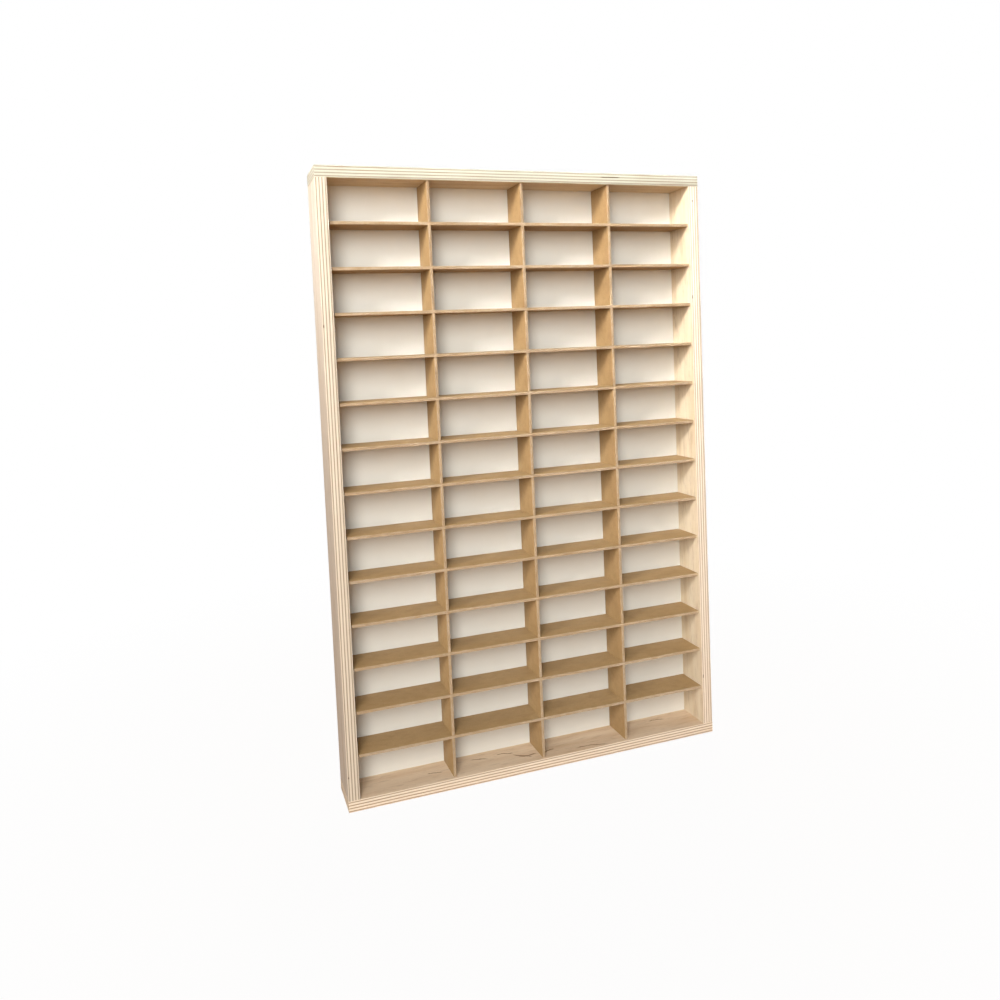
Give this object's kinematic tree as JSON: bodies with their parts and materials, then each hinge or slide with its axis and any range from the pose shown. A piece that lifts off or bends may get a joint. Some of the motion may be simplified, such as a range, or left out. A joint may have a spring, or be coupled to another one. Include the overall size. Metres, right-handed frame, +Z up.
{
  "type": "toy car display shelf",
  "caption": "Open-fronted wooden display case: a plywood frame round an interlocking lattice of thin shelves and dividers, with a white back, that holds small toy cars.",
  "frame": {"origin": "middle of the underside of the case, where it stands", "axes": "+X to the right seen from the front, +Y from the open front towards the back, +Z up"},
  "size_m": [0.412, 0.05, 0.622],
  "materials": {
    "birch_plywood": "bare sanded birch, ply lines on the edges",
    "fibreboard": "bare, smooth faces, cut edges a little lighter",
    "white_hardboard": "white lacquered face, matt",
    "nail_steel": "bright drawn wire"
  },
  "bodies": {
    "root": {"frame_bottom": "birch_plywood", "frame_left": "birch_plywood", "frame_right": "birch_plywood", "frame_top": "birch_plywood", "back_panel": "white_hardboard", "corner_nails": "nail_steel", "divider_1": "fibreboard", "divider_2": "fibreboard", "divider_3": "fibreboard", "shelf_01": "fibreboard", "shelf_02": "fibreboard", "shelf_03": "fibreboard", "shelf_04": "fibreboard", "shelf_05": "fibreboard", "shelf_06": "fibreboard", "shelf_07": "fibreboard", "shelf_08": "fibreboard", "shelf_09": "fibreboard", "shelf_10": "fibreboard", "shelf_11": "fibreboard", "shelf_12": "fibreboard", "shelf_13": "fibreboard"}
  },
  "joints": []
}
